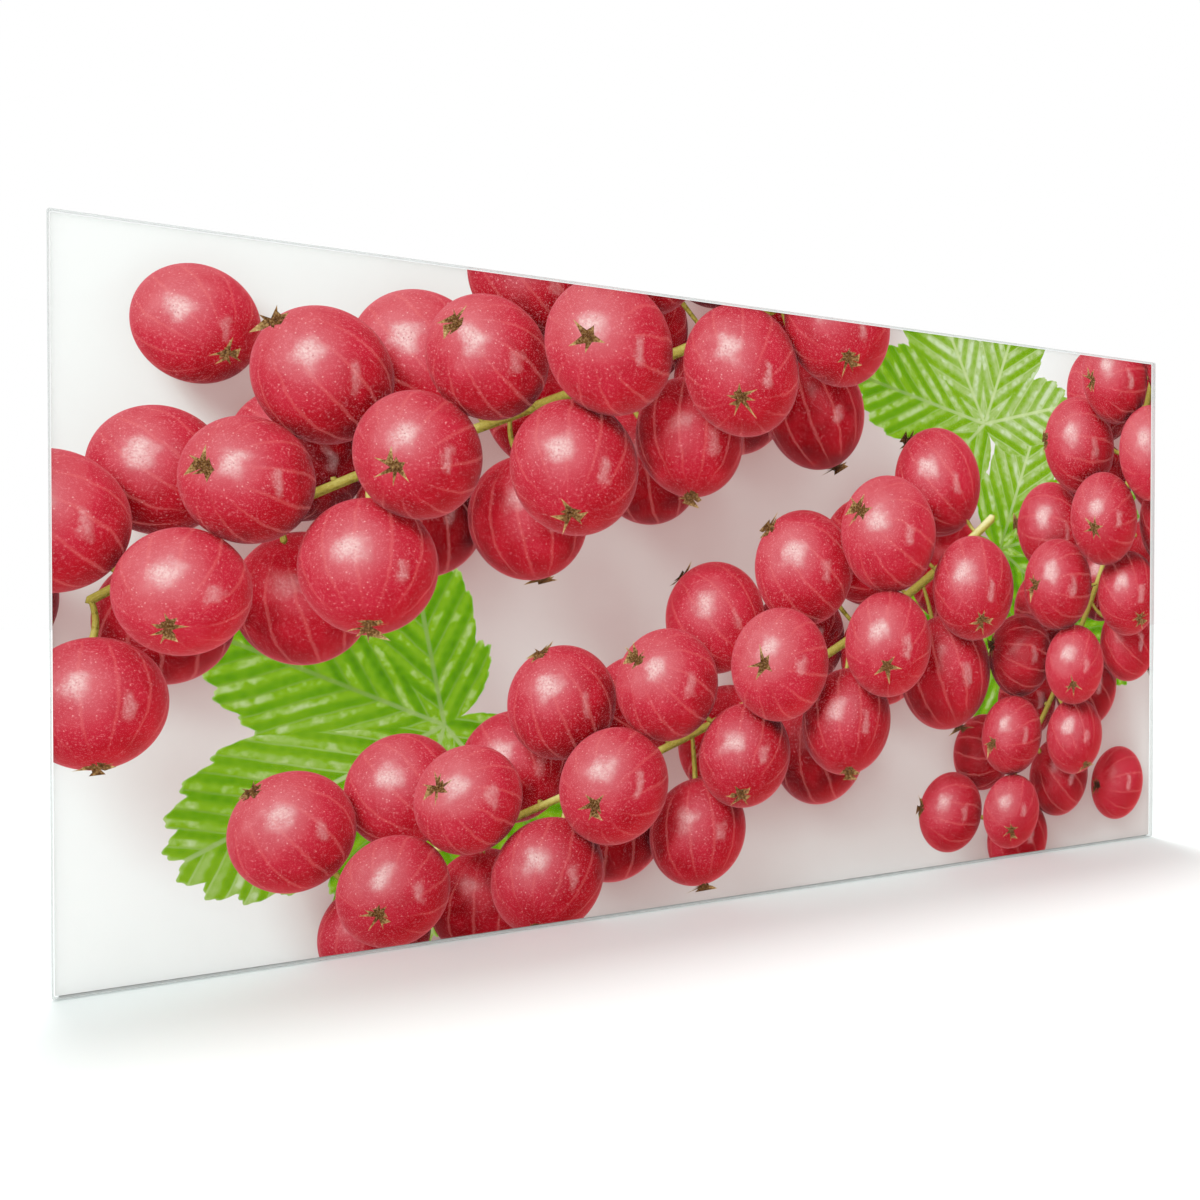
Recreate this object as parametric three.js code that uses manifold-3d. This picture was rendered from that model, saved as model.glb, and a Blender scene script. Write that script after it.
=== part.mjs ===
// A printed glass wall picture: a sheet of glass with a print and a white backing bonded
// behind it, two bent steel hangers near the top and two rubber spacers near the bottom.
// Millimetres. +Z is up, the picture faces -Y and the wall is the plane y = 0. The origin is on
// the wall, midway between the two screws that the picture hangs on, at the top of their slots.

import * as THREE from 'three';
import { mergeVertices } from 'three/addons/utils/BufferGeometryUtils.js';
import Module from 'manifold-3d';

const wasm = await Module();
wasm.setup();

// Glass
const PANE_WIDTH = 1000;
const PANE_HEIGHT = 500;
const PANE_THICKNESS = 4;
const PANE_CORNER_RADIUS = 2;
const PANE_ARRIS = 0.6;

// Films behind the glass
const FILM_INSET = 1;
const FILM_CORNER_RADIUS = 1;
const PICTURE_FILM_THICKNESS = 0.25;
const BACKING_FILM_THICKNESS = 0.25;

// Air between the backing and the wall
const WALL_GAP = 8;

// Hangers
const HANGER_SPACING = 640;
const SLOT_TOP_BELOW_PANE_TOP = 62;
const HANGER_WIDTH = 94;
const HANGER_HEIGHT = 72;
const HANGER_ABOVE_SLOT_TOP = 24;
const HANGER_CORNER_RADIUS = 6;
const HANGER_SHEET = 1.2;
const HANGER_BEND_RADIUS = 1;
const RAISED_WIDTH = 46;
const SLOT_WIDTH = 5.2;
const SLOT_MOUTH_WIDTH = 18;
const SLOT_MOUTH_HEIGHT = 12;

// Foam tape under the hangers' flanges
const TAPE_THICKNESS = 1;
const TAPE_WIDTH = 18;
const TAPE_HEIGHT = 64;
const TAPE_CORNER_RADIUS = 2;

// Spacers
const SPACER_SPACING = 900;
const SPACER_ABOVE_PANE_BOTTOM = 45;
const SPACER_RADIUS = 12;
const SPACER_TOP_RADIUS = 10;
const SPACER_EDGE_ROUND = 1;
const SPACER_TAPE_THICKNESS = 0.8;
const SPACER_TAPE_RADIUS = 11;

// Steps in a quarter turn of a small round
const ROUND_STEPS = 4;
const SPACER_STEPS = 48;

// Planes, measured from the wall
const BACKING_BACK = -WALL_GAP;
const PICTURE_BACK = BACKING_BACK - BACKING_FILM_THICKNESS;
const PANE_BACK = PICTURE_BACK - PICTURE_FILM_THICKNESS;
const PANE_CENTRE_HEIGHT = SLOT_TOP_BELOW_PANE_TOP - PANE_HEIGHT / 2;
const SPACER_HEIGHT = SLOT_TOP_BELOW_PANE_TOP - PANE_HEIGHT + SPACER_ABOVE_PANE_BOTTOM;

const glass = new THREE.MeshStandardMaterial({
  color: 0xdfeeea, roughness: 0.03, metalness: 0, transparent: true, opacity: 0.35,
});
const print = new THREE.MeshStandardMaterial({ color: 0xb3203c, roughness: 0.45, metalness: 0 });
const whiteFilm = new THREE.MeshStandardMaterial({ color: 0xf2f1ee, roughness: 0.6, metalness: 0 });
const steel = new THREE.MeshStandardMaterial({ color: 0xb9bcc0, roughness: 0.35, metalness: 1 });
const foam = new THREE.MeshStandardMaterial({ color: 0xe6e6e2, roughness: 0.9, metalness: 0 });
const rubber = new THREE.MeshStandardMaterial({ color: 0x2b2c2e, roughness: 0.8, metalness: 0 });

// Stands a flat outline up: its height becomes Z, and its depth runs forward, along -Y
const UPRIGHT = new THREE.Matrix4().set(
  1, 0, 0, 0,
  0, 0, -1, 0,
  0, 1, 0, 0,
  0, 0, 0, 1,
);

function roundedRectangle(width, height, radius) {
  const x = width / 2 - radius;
  const y = height / 2 - radius;
  const outline = new THREE.Shape();
  outline.absarc(x, y, radius, 0, Math.PI / 2);
  outline.absarc(-x, y, radius, Math.PI / 2, Math.PI);
  outline.absarc(-x, -y, radius, Math.PI, 1.5 * Math.PI);
  outline.absarc(x, -y, radius, 1.5 * Math.PI, 2 * Math.PI);
  return outline;
}

// A sheet cut to an outline, whose back lies at y = 0 and whose front lies at y = -depth
function uprightSheet(outline, depth) {
  const sheet = new THREE.ExtrudeGeometry(outline, {
    depth, bevelEnabled: false, curveSegments: ROUND_STEPS,
  });
  return sheet.applyMatrix4(UPRIGHT);
}

// The pane's outline is drawn inside its arris, which the bevel then adds
function paneGeometry() {
  const outline = roundedRectangle(
    PANE_WIDTH - 2 * PANE_ARRIS,
    PANE_HEIGHT - 2 * PANE_ARRIS,
    PANE_CORNER_RADIUS - PANE_ARRIS,
  );
  const pane = new THREE.ExtrudeGeometry(outline, {
    depth: PANE_THICKNESS - 2 * PANE_ARRIS,
    bevelEnabled: true,
    bevelThickness: PANE_ARRIS,
    bevelSize: PANE_ARRIS,
    bevelSegments: 1,
    curveSegments: ROUND_STEPS,
  });
  return pane.translate(0, 0, PANE_ARRIS).applyMatrix4(UPRIGHT);
}

function filmGeometry(thickness) {
  const outline = roundedRectangle(
    PANE_WIDTH - 2 * FILM_INSET,
    PANE_HEIGHT - 2 * FILM_INSET,
    FILM_CORNER_RADIUS,
  );
  return uprightSheet(outline, thickness);
}

// The bent sheet seen from above: a flange each side, bonded to the backing, and a middle
// raised to the wall, with a round bend at each of the four corners
function hangerSection() {
  const inner = HANGER_BEND_RADIUS;
  const outer = inner + HANGER_SHEET;
  const side = RAISED_WIDTH / 2;
  const end = HANGER_WIDTH / 2;
  const flangeFront = TAPE_THICKNESS - WALL_GAP;
  const flangeBack = flangeFront + HANGER_SHEET;

  const wallSide = new THREE.Path();
  wallSide.moveTo(0, 0);
  wallSide.absarc(side - outer, -outer, outer, Math.PI / 2, 0, true);
  wallSide.absarc(side + inner, flangeBack + inner, inner, Math.PI, 1.5 * Math.PI, false);
  wallSide.lineTo(end, flangeBack);

  const paneSide = new THREE.Path();
  paneSide.moveTo(end, flangeFront);
  paneSide.absarc(
    side - HANGER_SHEET + outer, flangeFront + outer, outer, 1.5 * Math.PI, Math.PI, true,
  );
  paneSide.absarc(
    side - HANGER_SHEET - inner, -HANGER_SHEET - inner, inner, 0, Math.PI / 2, false,
  );
  paneSide.lineTo(0, -HANGER_SHEET);

  const right = [...wallSide.getPoints(ROUND_STEPS), ...paneSide.getPoints(ROUND_STEPS)];
  const left = right.slice(1, -1).reverse().map((p) => new THREE.Vector2(-p.x, p.y));
  return new THREE.Shape([...right, ...left]);
}

// The slot for a screw's shank: round at the top, straight, and flared at its open mouth
function slotOutline() {
  const bottom = HANGER_ABOVE_SLOT_TOP - HANGER_HEIGHT;
  const beyond = bottom - SLOT_MOUTH_HEIGHT;
  const half = SLOT_WIDTH / 2;
  const outline = new THREE.Shape();
  outline.moveTo(SLOT_MOUTH_WIDTH / 2, beyond);
  outline.lineTo(SLOT_MOUTH_WIDTH / 2, bottom);
  outline.lineTo(half, bottom + SLOT_MOUTH_HEIGHT);
  outline.absarc(0, -half, half, 0, Math.PI, false);
  outline.lineTo(-half, bottom + SLOT_MOUTH_HEIGHT);
  outline.lineTo(-SLOT_MOUTH_WIDTH / 2, bottom);
  outline.lineTo(-SLOT_MOUTH_WIDTH / 2, beyond);
  return outline;
}

function toSolid(geometry) {
  const bare = geometry.clone();
  bare.deleteAttribute('normal');
  bare.deleteAttribute('uv');
  const merged = mergeVertices(bare);
  return new wasm.Manifold(new wasm.Mesh({
    numProp: 3,
    vertProperties: new Float32Array(merged.attributes.position.array),
    triVerts: new Uint32Array(merged.index.array),
  }));
}

function toGeometry(solid) {
  const mesh = solid.getMesh();
  const geometry = new THREE.BufferGeometry();
  geometry.setAttribute('position', new THREE.BufferAttribute(mesh.vertProperties, 3));
  geometry.setIndex(new THREE.BufferAttribute(mesh.triVerts, 1));
  geometry.computeVertexNormals();
  return geometry;
}

// The bent sheet, cut to a plate with round corners and slotted from below
function hangerGeometry() {
  const middle = HANGER_ABOVE_SLOT_TOP - HANGER_HEIGHT / 2;
  const bent = new THREE.ExtrudeGeometry(hangerSection(), {
    depth: HANGER_HEIGHT, bevelEnabled: false,
  });
  bent.translate(0, 0, middle - HANGER_HEIGHT / 2);
  const cutDepth = 2 * WALL_GAP;
  const plate = uprightSheet(
    roundedRectangle(HANGER_WIDTH, HANGER_HEIGHT, HANGER_CORNER_RADIUS), cutDepth,
  );
  plate.translate(0, WALL_GAP / 2, middle);
  const slot = uprightSheet(slotOutline(), cutDepth);
  slot.translate(0, WALL_GAP / 2, 0);
  return toGeometry(toSolid(bent).intersect(toSolid(plate)).subtract(toSolid(slot)));
}

// A round foot, turned about the axis that runs from the adhesive disc to the wall
function spacerGeometry() {
  const length = WALL_GAP - SPACER_TAPE_THICKNESS;
  const top = SPACER_TOP_RADIUS - SPACER_EDGE_ROUND;
  const profile = new THREE.Path();
  profile.moveTo(0, 0);
  profile.lineTo(SPACER_RADIUS, 0);
  profile.lineTo(SPACER_TOP_RADIUS, length - SPACER_EDGE_ROUND);
  profile.absarc(top, length - SPACER_EDGE_ROUND, SPACER_EDGE_ROUND, 0, Math.PI / 2, false);
  profile.lineTo(0, length);
  const foot = new THREE.LatheGeometry(profile.getPoints(ROUND_STEPS), SPACER_STEPS);
  return foot.translate(0, -length, 0);
}

function discGeometry(radius, thickness) {
  const disc = new THREE.CylinderGeometry(radius, radius, thickness, SPACER_STEPS);
  return disc.translate(0, BACKING_BACK + thickness / 2, 0);
}

function mesh(name, geometry, material, x = 0, y = 0, z = 0) {
  const piece = new THREE.Mesh(geometry, material);
  piece.name = name;
  piece.position.set(x, y, z);
  return piece;
}

const picture = new THREE.Group();

const panel = new THREE.Group();
panel.position.z = PANE_CENTRE_HEIGHT;
panel.add(
  mesh('glass_pane', paneGeometry(), glass, 0, PANE_BACK),
  mesh('picture_film', filmGeometry(PICTURE_FILM_THICKNESS), print, 0, PICTURE_BACK),
  mesh('backing_film', filmGeometry(BACKING_FILM_THICKNESS), whiteFilm, 0, BACKING_BACK),
);
picture.add(panel);

for (const [side, sign] of [['left', -1], ['right', 1]]) {
  const hanger = new THREE.Group();
  hanger.position.x = sign * HANGER_SPACING / 2;
  hanger.add(mesh(`hanger_${side}`, hangerGeometry(), steel));
  const tapeOutline = roundedRectangle(TAPE_WIDTH, TAPE_HEIGHT, TAPE_CORNER_RADIUS);
  const flangeCentre = (RAISED_WIDTH + HANGER_WIDTH) / 4;
  for (const [place, way] of [['outer', sign], ['inner', -sign]]) {
    hanger.add(mesh(
      `hanger_${side}_tape_${place}`,
      uprightSheet(tapeOutline, TAPE_THICKNESS),
      foam,
      way * flangeCentre,
      BACKING_BACK + TAPE_THICKNESS,
      HANGER_ABOVE_SLOT_TOP - HANGER_HEIGHT / 2,
    ));
  }
  picture.add(hanger);

  const spacer = new THREE.Group();
  spacer.position.set(sign * SPACER_SPACING / 2, 0, SPACER_HEIGHT);
  spacer.add(
    mesh(`spacer_${side}`, spacerGeometry(), rubber),
    mesh(`spacer_${side}_tape`, discGeometry(SPACER_TAPE_RADIUS, SPACER_TAPE_THICKNESS), foam),
  );
  picture.add(spacer);
}

export default picture;
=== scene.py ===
import math
import random

import bmesh
import bpy
import numpy as np
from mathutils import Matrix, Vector
from mathutils.geometry import delaunay_2d_cdt


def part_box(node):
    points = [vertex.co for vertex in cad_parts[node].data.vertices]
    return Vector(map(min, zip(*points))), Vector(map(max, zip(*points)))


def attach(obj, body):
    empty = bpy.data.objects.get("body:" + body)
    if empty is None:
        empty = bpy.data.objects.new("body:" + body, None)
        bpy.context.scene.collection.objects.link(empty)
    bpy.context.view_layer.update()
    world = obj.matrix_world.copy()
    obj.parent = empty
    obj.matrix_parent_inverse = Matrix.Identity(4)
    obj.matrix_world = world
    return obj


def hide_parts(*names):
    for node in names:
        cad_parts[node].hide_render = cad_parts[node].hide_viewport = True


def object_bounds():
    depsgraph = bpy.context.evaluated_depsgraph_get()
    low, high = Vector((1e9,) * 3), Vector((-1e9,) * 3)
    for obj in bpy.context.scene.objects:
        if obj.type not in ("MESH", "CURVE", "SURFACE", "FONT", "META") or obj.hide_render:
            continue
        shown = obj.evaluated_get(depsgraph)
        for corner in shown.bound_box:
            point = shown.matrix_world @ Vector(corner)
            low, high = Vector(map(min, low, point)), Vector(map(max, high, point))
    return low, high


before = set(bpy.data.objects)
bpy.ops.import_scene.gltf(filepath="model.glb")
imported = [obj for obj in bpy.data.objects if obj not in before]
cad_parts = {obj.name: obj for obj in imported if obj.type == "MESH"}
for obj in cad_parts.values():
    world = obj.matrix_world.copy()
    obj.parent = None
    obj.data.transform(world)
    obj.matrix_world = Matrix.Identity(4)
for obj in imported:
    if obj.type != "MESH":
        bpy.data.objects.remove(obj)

cad_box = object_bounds()

# Camera
# It stands near the left end of the picture, about 0.6 m in front of it and a little above its
# middle, level, and looks past the middle to the right, so the right end runs away from it.
CAMERA_PLACE = Vector((-0.3697, -0.6358, -0.1790))
CAMERA_TURN_RIGHT = math.radians(21.21)
CAMERA_TILT_DOWN = math.radians(0.57)
CAMERA_LENS_MM = 25.45
CAMERA_SENSOR_MM = 36

camera_lens = bpy.data.cameras.new("camera")
camera_lens.lens = CAMERA_LENS_MM
camera_lens.sensor_width = CAMERA_SENSOR_MM
camera_lens.clip_start = 0.01
camera = bpy.data.objects.new("camera", camera_lens)
camera.location = CAMERA_PLACE
camera.rotation_euler = (math.radians(90) - CAMERA_TILT_DOWN, 0, -CAMERA_TURN_RIGHT)
bpy.context.collection.objects.link(camera)
bpy.context.scene.camera = camera
bpy.context.scene.view_settings.view_transform = "Standard"


# Studio
# A white room: a white sky, a pale floor just under the picture, a wide soft lamp in front of it
# and one overhead, a little behind, which draws the soft shadow along its foot. A low flag behind
# the clear rim keeps light from coming through under the picture, as a wall does. Its dark grey,
# seen through the rim, is painted shade that stands for the shaded wall under the picture.
FLOOR_BELOW_PICTURE = 0.0008
FLOOR_HALF_WIDTH = 6.0
FLOOR_COLOUR = (0.87, 0.925, 0.915, 1)
FLAG_HALF_WIDTH = 0.497
FLAG_FRONT = -0.0078
FLAG_BACK = -0.0070
FLAG_HEIGHT = 0.0014
# The flag's dark grey is painted shade: the shaded wall, seen through the clear rim
FLAG_PAINTED_SHADE_COLOUR = (0.30, 0.30, 0.29, 1)
SKY_COLOUR = (1, 1, 1, 1)
SKY_LIGHT = 1.0

# Each lamp: where it shines from, how strong it is and how many degrees wide it looks
LAMPS = {
    "front_lamp": ((-0.30, -1.0, 0.55), 0.28, 25),
    "top_lamp": ((0.0, 0.19, 1.0), 1.20, 11),
}


def new_node(tree, kind, values=None, **settings):
    """Adds a node. A value that another node gives is linked, and a plain one is set."""
    made = tree.nodes.new(kind)
    for name, value in settings.items():
        setattr(made, name, value)
    for name, value in (values or {}).items():
        wire(tree, made.inputs[name], value)
    return made


def wire(tree, socket, value):
    if isinstance(value, bpy.types.NodeSocket):
        tree.links.new(value, socket)
    else:
        socket.default_value = value


class Recipe:
    """A material's node tree written as a formula: each call adds a node and returns its result."""

    def __init__(self, name):
        self.material = bpy.data.materials.new(name)
        self.material.use_nodes = True
        self.tree = self.material.node_tree
        self.shader = self.tree.nodes["Principled BSDF"]

    def node(self, kind, values=None, **settings):
        return new_node(self.tree, "ShaderNode" + kind, values, **settings)

    def maths(self, operation, *values, clamp=False):
        values = dict(enumerate(values))
        return self.node("Math", values, operation=operation, use_clamp=clamp).outputs[0]

    def plus(self, first, *others):
        for other in others:
            first = self.maths("ADD", first, other)
        return first

    def times(self, first, *others):
        for other in others:
            first = self.maths("MULTIPLY", first, other)
        return first

    def times_plus(self, value, factor, extra):
        return self.maths("MULTIPLY_ADD", value, factor, extra)

    def vector(self, operation, *values):
        made = self.node("VectorMath", dict(enumerate(values)), operation=operation)
        return made.outputs["Value" if operation in ("DOT_PRODUCT", "LENGTH") else "Vector"]

    def scaled(self, vector, factor):
        return self.node("VectorMath", {0: vector, "Scale": factor}, operation="SCALE").outputs[0]

    def join(self, x, y, z):
        return self.node("CombineXYZ", {"X": x, "Y": y, "Z": z}).outputs[0]

    def split(self, vector):
        return self.node("SeparateXYZ", {0: vector}).outputs

    def smooth(self, value, start, end, low=0.0, high=1.0):
        return self.node("MapRange", {
            "Value": value, "From Min": start, "From Max": end, "To Min": low, "To Max": high,
        }, interpolation_type="SMOOTHSTEP").outputs["Result"]

    def mix(self, factor, first, second):
        values = {"Factor": factor, 6: first, 7: second}
        return self.node("Mix", values, data_type="RGBA").outputs[2]

    def ramp(self, value, *stops):
        made = self.node("ValToRGB", {"Fac": value})
        band = made.color_ramp
        while len(band.elements) < len(stops):
            band.elements.new(0.5)
        for element, (place, colour) in zip(band.elements, stops):
            element.position = place
            element.color = (*colour, 1)
        return made.outputs["Color"]

    def noise(self, vector, scale, detail=2.0, roughness=0.5):
        return self.node("TexNoise", {
            "Vector": vector, "Scale": scale, "Detail": detail, "Roughness": roughness,
        }).outputs

    def spots(self, vector, scale):
        return self.node("TexVoronoi", {"Vector": vector, "Scale": scale}).outputs["Distance"]

    def bump(self, height, strength, distance):
        self.finish(Normal=self.node("Bump", {
            "Height": height, "Strength": strength, "Distance": distance,
        }).outputs[0])

    def place(self):
        return self.node("TexCoord").outputs["Object"]

    def finish(self, **values):
        for name, value in values.items():
            wire(self.tree, self.shader.inputs[name.replace("_", " ")], value)
        return self.material


def mesh_object(name, points, faces, *materials):
    mesh = bpy.data.meshes.new(name)
    mesh.from_pydata(points, [], faces)
    for material in materials:
        mesh.materials.append(material)
    made = bpy.data.objects.new(name, mesh)
    bpy.context.collection.objects.link(made)
    return made


def lofted(name, rings, *materials):
    """A closed body from rings of points, one behind the other, with a flat face on each end."""
    count = len(rings[0])
    points = [p for ring in rings for p in ring]
    faces = [list(range(count)), list(range(len(points) - 1, len(points) - count - 1, -1))]
    for ring in range(len(rings) - 1):
        for i in range(count):
            j = (i + 1) % count
            start = ring * count
            faces.append((start + i, start + count + i, start + count + j, start + j))
    return mesh_object(name, points, faces, *materials)


floor_height = cad_box[0].z - FLOOR_BELOW_PICTURE
floor_paint = Recipe("floor_paint")
floor_paint.bump(floor_paint.noise(floor_paint.place(), 60.0)[0], 0.02, 0.002)
floor_corners = ((-1, -1), (1, -1), (1, 1), (-1, 1))
floor = mesh_object(
    "floor",
    [(FLOOR_HALF_WIDTH * x, FLOOR_HALF_WIDTH * y, floor_height) for x, y in floor_corners],
    [(0, 1, 2, 3)],
    floor_paint.finish(Base_Color=FLOOR_COLOUR, Roughness=0.9, Specular_IOR_Level=0.1),
)

flag_outline = (
    (-FLAG_HALF_WIDTH, FLAG_BACK), (FLAG_HALF_WIDTH, FLAG_BACK),
    (FLAG_HALF_WIDTH, FLAG_FRONT), (-FLAG_HALF_WIDTH, FLAG_FRONT),
)
# The flag blocks light from behind, and its dark grey is painted shade seen through the rim
flag = lofted(
    "flag",
    [[(x, y, z) for x, y in flag_outline] for z in (floor_height, floor_height + FLAG_HEIGHT)],
    Recipe("flag_painted_shade").finish(Base_Color=FLAG_PAINTED_SHADE_COLOUR, Roughness=0.9, Specular_IOR_Level=0.1),
)

for name, (place, strength, spread) in LAMPS.items():
    light = bpy.data.lights.new(name, "SUN")
    light.energy = strength
    light.angle = math.radians(spread)
    lamp = bpy.data.objects.new(name, light)
    lamp.rotation_euler = Vector(place).to_track_quat("Z", "Y").to_euler()
    bpy.context.collection.objects.link(lamp)

sky = bpy.data.worlds.new("sky")
sky.use_nodes = True
sky.node_tree.nodes["Background"].inputs["Color"].default_value = SKY_COLOUR
sky.node_tree.nodes["Background"].inputs["Strength"].default_value = SKY_LIGHT
bpy.context.scene.world = sky


# Glass pane
# One sheet of 4 mm clear float glass with slightly dubbed corners. Its edges are ground flat
# with a narrow rounded arris each side, so they show as a fine pale line round the picture.
PANE_CORNER_RADIUS = 0.002
PANE_ARRIS = 0.0006
PANE_ARRIS_STEPS = 4
PANE_CORNER_STEPS = 8
PANE_OFF_FILM = 0.00006
GLASS_INDEX = 1.45
GLASS_SHINE = 0.09
GLASS_COLOUR = (0.990, 0.994, 0.991, 1)
EDGE_TONES = ((0.3, (0.52, 0.545, 0.54)), (0.7, (0.66, 0.68, 0.675)))

pane_low, pane_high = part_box("glass_pane")
pane_middle = (pane_low + pane_high) / 2


def rounded_outline(width, height, radius, steps):
    points = []
    for quarter in range(4):
        sign_x = (1, -1, -1, 1)[quarter]
        sign_z = (1, 1, -1, -1)[quarter]
        for step in range(steps + 1):
            angle = math.pi / 2 * (quarter + step / steps)
            points.append((
                sign_x * (width / 2 - radius) + radius * math.cos(angle),
                sign_z * (height / 2 - radius) + radius * math.sin(angle),
            ))
    return points


def pane_rings():
    width = pane_high.x - pane_low.x
    height = pane_high.z - pane_low.z
    profile = []
    for step in range(PANE_ARRIS_STEPS + 1):
        a = math.pi / 2 * step / PANE_ARRIS_STEPS
        inset, deep = PANE_ARRIS * (1 - math.sin(a)), PANE_ARRIS * (1 - math.cos(a))
        profile.append((inset, pane_low.y + deep))
    back_y = pane_high.y - PANE_OFF_FILM
    profile += [(inset, pane_low.y + back_y - y) for inset, y in reversed(profile)]
    rings = []
    for inset, y in profile:
        outline = rounded_outline(
            width - 2 * inset, height - 2 * inset, PANE_CORNER_RADIUS - inset, PANE_CORNER_STEPS,
        )
        rings.append([(pane_middle.x + x, y, pane_middle.z + z) for x, z in outline])
    return rings


def clear_glass():
    """Clear glass with a coating that takes most of the mirror image off its front."""
    glass = Recipe("clear_glass")
    glass.tree.nodes.remove(glass.shader)
    smears = glass.noise(glass.place(), 9.0, 4.0)[0]
    gloss = glass.node("BsdfGlossy", {
        "Color": (1, 1, 1, 1), "Roughness": glass.smooth(smears, 0.3, 0.8, 0.015, 0.05),
    }).outputs[0]
    clear = glass.node("BsdfTransparent", {"Color": GLASS_COLOUR}).outputs[0]
    outside = glass.maths("SUBTRACT", 1.0, glass.node("NewGeometry").outputs["Backfacing"])
    mirror = glass.node("Fresnel", {"IOR": GLASS_INDEX}).outputs[0]
    mirror = glass.times(mirror, GLASS_SHINE, outside)
    both = glass.node("MixShader", {0: mirror, 1: clear, 2: gloss}).outputs[0]
    wire(glass.tree, glass.tree.nodes["Material Output"].inputs["Surface"], both)
    return glass.material


def ground_glass_edge():
    edge = Recipe("ground_glass_edge")
    grain = edge.noise(edge.place(), 900.0, 3.0)[0]
    edge.bump(grain, 0.15, 0.0002)
    return edge.finish(Base_Color=edge.ramp(grain, *EDGE_TONES), Roughness=0.28, Alpha=0.6)


glass_pane = lofted("glass_pane_ground", pane_rings(), clear_glass(), ground_glass_edge())
for face in glass_pane.data.polygons:
    face.material_index = 0 if face.index < 2 else 1
    face.use_smooth = face.index >= 2
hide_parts("glass_pane")
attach(glass_pane, "root")


# Picture film
# A printed film bonded behind the glass. The print is a close view of currant bunches and their
# leaves on a white table, made up for this piece. The film is one closed sheet whose front is cut
# along the outlines of what it shows, so that each colour area keeps a crisp edge.
film_low, film_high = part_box("picture_film")
film_middle = (film_low + film_high) / 2
film_width = film_high.x - film_low.x
film_height = film_high.z - film_low.z
FILM_CORNER_RADIUS = 0.001
FILM_CORNER_STEPS = 3
GRID_STEP = 0.0056
LEAF_GRID_STEP = 0.0034
OUTLINE_STEP = 0.0032
EDGE_STEP = 0.02
MERGE_DISTANCE = 1e-6
FRONT_STRIP = 0.02
BACK_STRIP = 0.008
SIDE_STRIP = (0.010, 0.018)

# The pictured light comes from the upper left. Places on the print are right, up and towards
# the viewer, with the table at 0.
KEY_LIGHT = (-0.46, 0.52, 0.72) / np.linalg.norm((-0.46, 0.52, 0.72))
KEY_LIGHT_SPREAD = 0.30
SIDE_LIGHT = (0.80, -0.05, 0.60)

# Each bunch: its stalk as a curve of four points, its first and last berry's radius, how many
# berries, and how thick the stalk is
BUNCHES = (
    (((0.12, 0.31, 0.13), (-0.03, 0.19, 0.12), (-0.26, 0.14, 0.10), (-0.50, -0.01, 0.07)),
     0.056, 0.044, 32, 0.0050),
    (((0.28, 0.08, 0.12), (0.12, -0.05, 0.11), (-0.06, -0.13, 0.09), (-0.32, -0.20, 0.05)),
     0.054, 0.040, 30, 0.0046),
    (((0.52, 0.31, 0.12), (0.48, 0.14, 0.11), (0.42, -0.03, 0.09), (0.28, -0.21, 0.05)),
     0.053, 0.038, 30, 0.0046),
)
STALK_CURVE_STEPS = 40
LOOSE_BERRIES = ((-0.415, 0.188, 0.040), (0.452, -0.190, 0.038))
BERRY_RINGS = (0.96, 0.90, 0.80, 0.68)
BERRY_FORWARD_LEAN = 0.35
GOLDEN_TURN = math.radians(137.5)
SETTLING_ROUNDS = 220
BERRY_PUSH = 0.4
STALK_PUSH = 0.8
HOME_PULL = 0.03
PEDICEL_LENGTH = 0.016
PEDICEL_RADIUS = 0.0019
PEDICEL_STEPS = 7
FLOWER_TIP_SPREAD = (0.20, 0.34)
FLOWER_TIP_LIFT = (1.05, 1.20)
FLOWER_NOTCH_SPREAD = (0.08, 0.12)
FLOWER_NOTCH_LIFT = 0.965
FLOWER_SHOWS_ABOVE = -0.25

# Each leaf: the foot it is drawn round, its heading, its length and its height over the table
LEAVES = (
    ((0.27, 0.17), math.radians(118), 0.165, 0.012),
    ((0.29, 0.05), math.radians(-35), 0.21, 0.010),
    ((-0.25, -0.09), math.radians(205), 0.19, 0.008),
)
LEAF_LOBES = ((0.0, 1.0), (0.86, 0.88), (-0.86, 0.88), (1.82, 0.66), (-1.82, 0.66))
LEAF_LOBE_SPREAD = 0.60
LEAF_LOBE_DEPTH = 0.60
LEAF_FOOT_ANGLE = 2.55
LEAF_TEETH = 58
LEAF_TOOTH_DEPTH = 0.055
LEAF_OUTLINE_POINTS = 720

chance = random.Random(20)


def unit(vector):
    return vector / np.linalg.norm(vector)


def curve_point(curve, t):
    a, b, c, d = (np.array(p) for p in curve)
    s = 1 - t
    return s ** 3 * a + 3 * s * s * t * b + 3 * s * t * t * c + t ** 3 * d


def curve_heading(curve, t):
    step = 0.01
    return unit(curve_point(curve, min(t + step, 1)) - curve_point(curve, max(t - step, 0)))


def grow_berries():
    """Berries sit round each stalk a golden turn apart, then are pushed apart over many rounds."""
    centres, radii, roots = [], [], []
    for curve, first, last, count, _ in BUNCHES:
        for i in range(count):
            t = 0.04 + 0.96 * i / (count - 1)
            radius = (first + (last - first) * t) * chance.uniform(0.93, 1.07)
            root = curve_point(curve, t)
            along = curve_heading(curve, t)
            side = unit(np.cross(along, (0, 0, 1)))
            facing = np.cross(side, along)
            turn = i * GOLDEN_TURN
            way = math.cos(turn) * side + math.sin(turn) * facing + BERRY_FORWARD_LEAN * along
            centres.append(root + unit(way) * (radius + PEDICEL_LENGTH))
            radii.append(radius)
            roots.append(root)
    for x, z, radius in LOOSE_BERRIES:
        centres.append(np.array((x, z, radius)))
        radii.append(radius)
        roots.append(None)
    centres, radii = np.array(centres), np.array(radii)
    return settle(centres, radii), radii, roots


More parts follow.
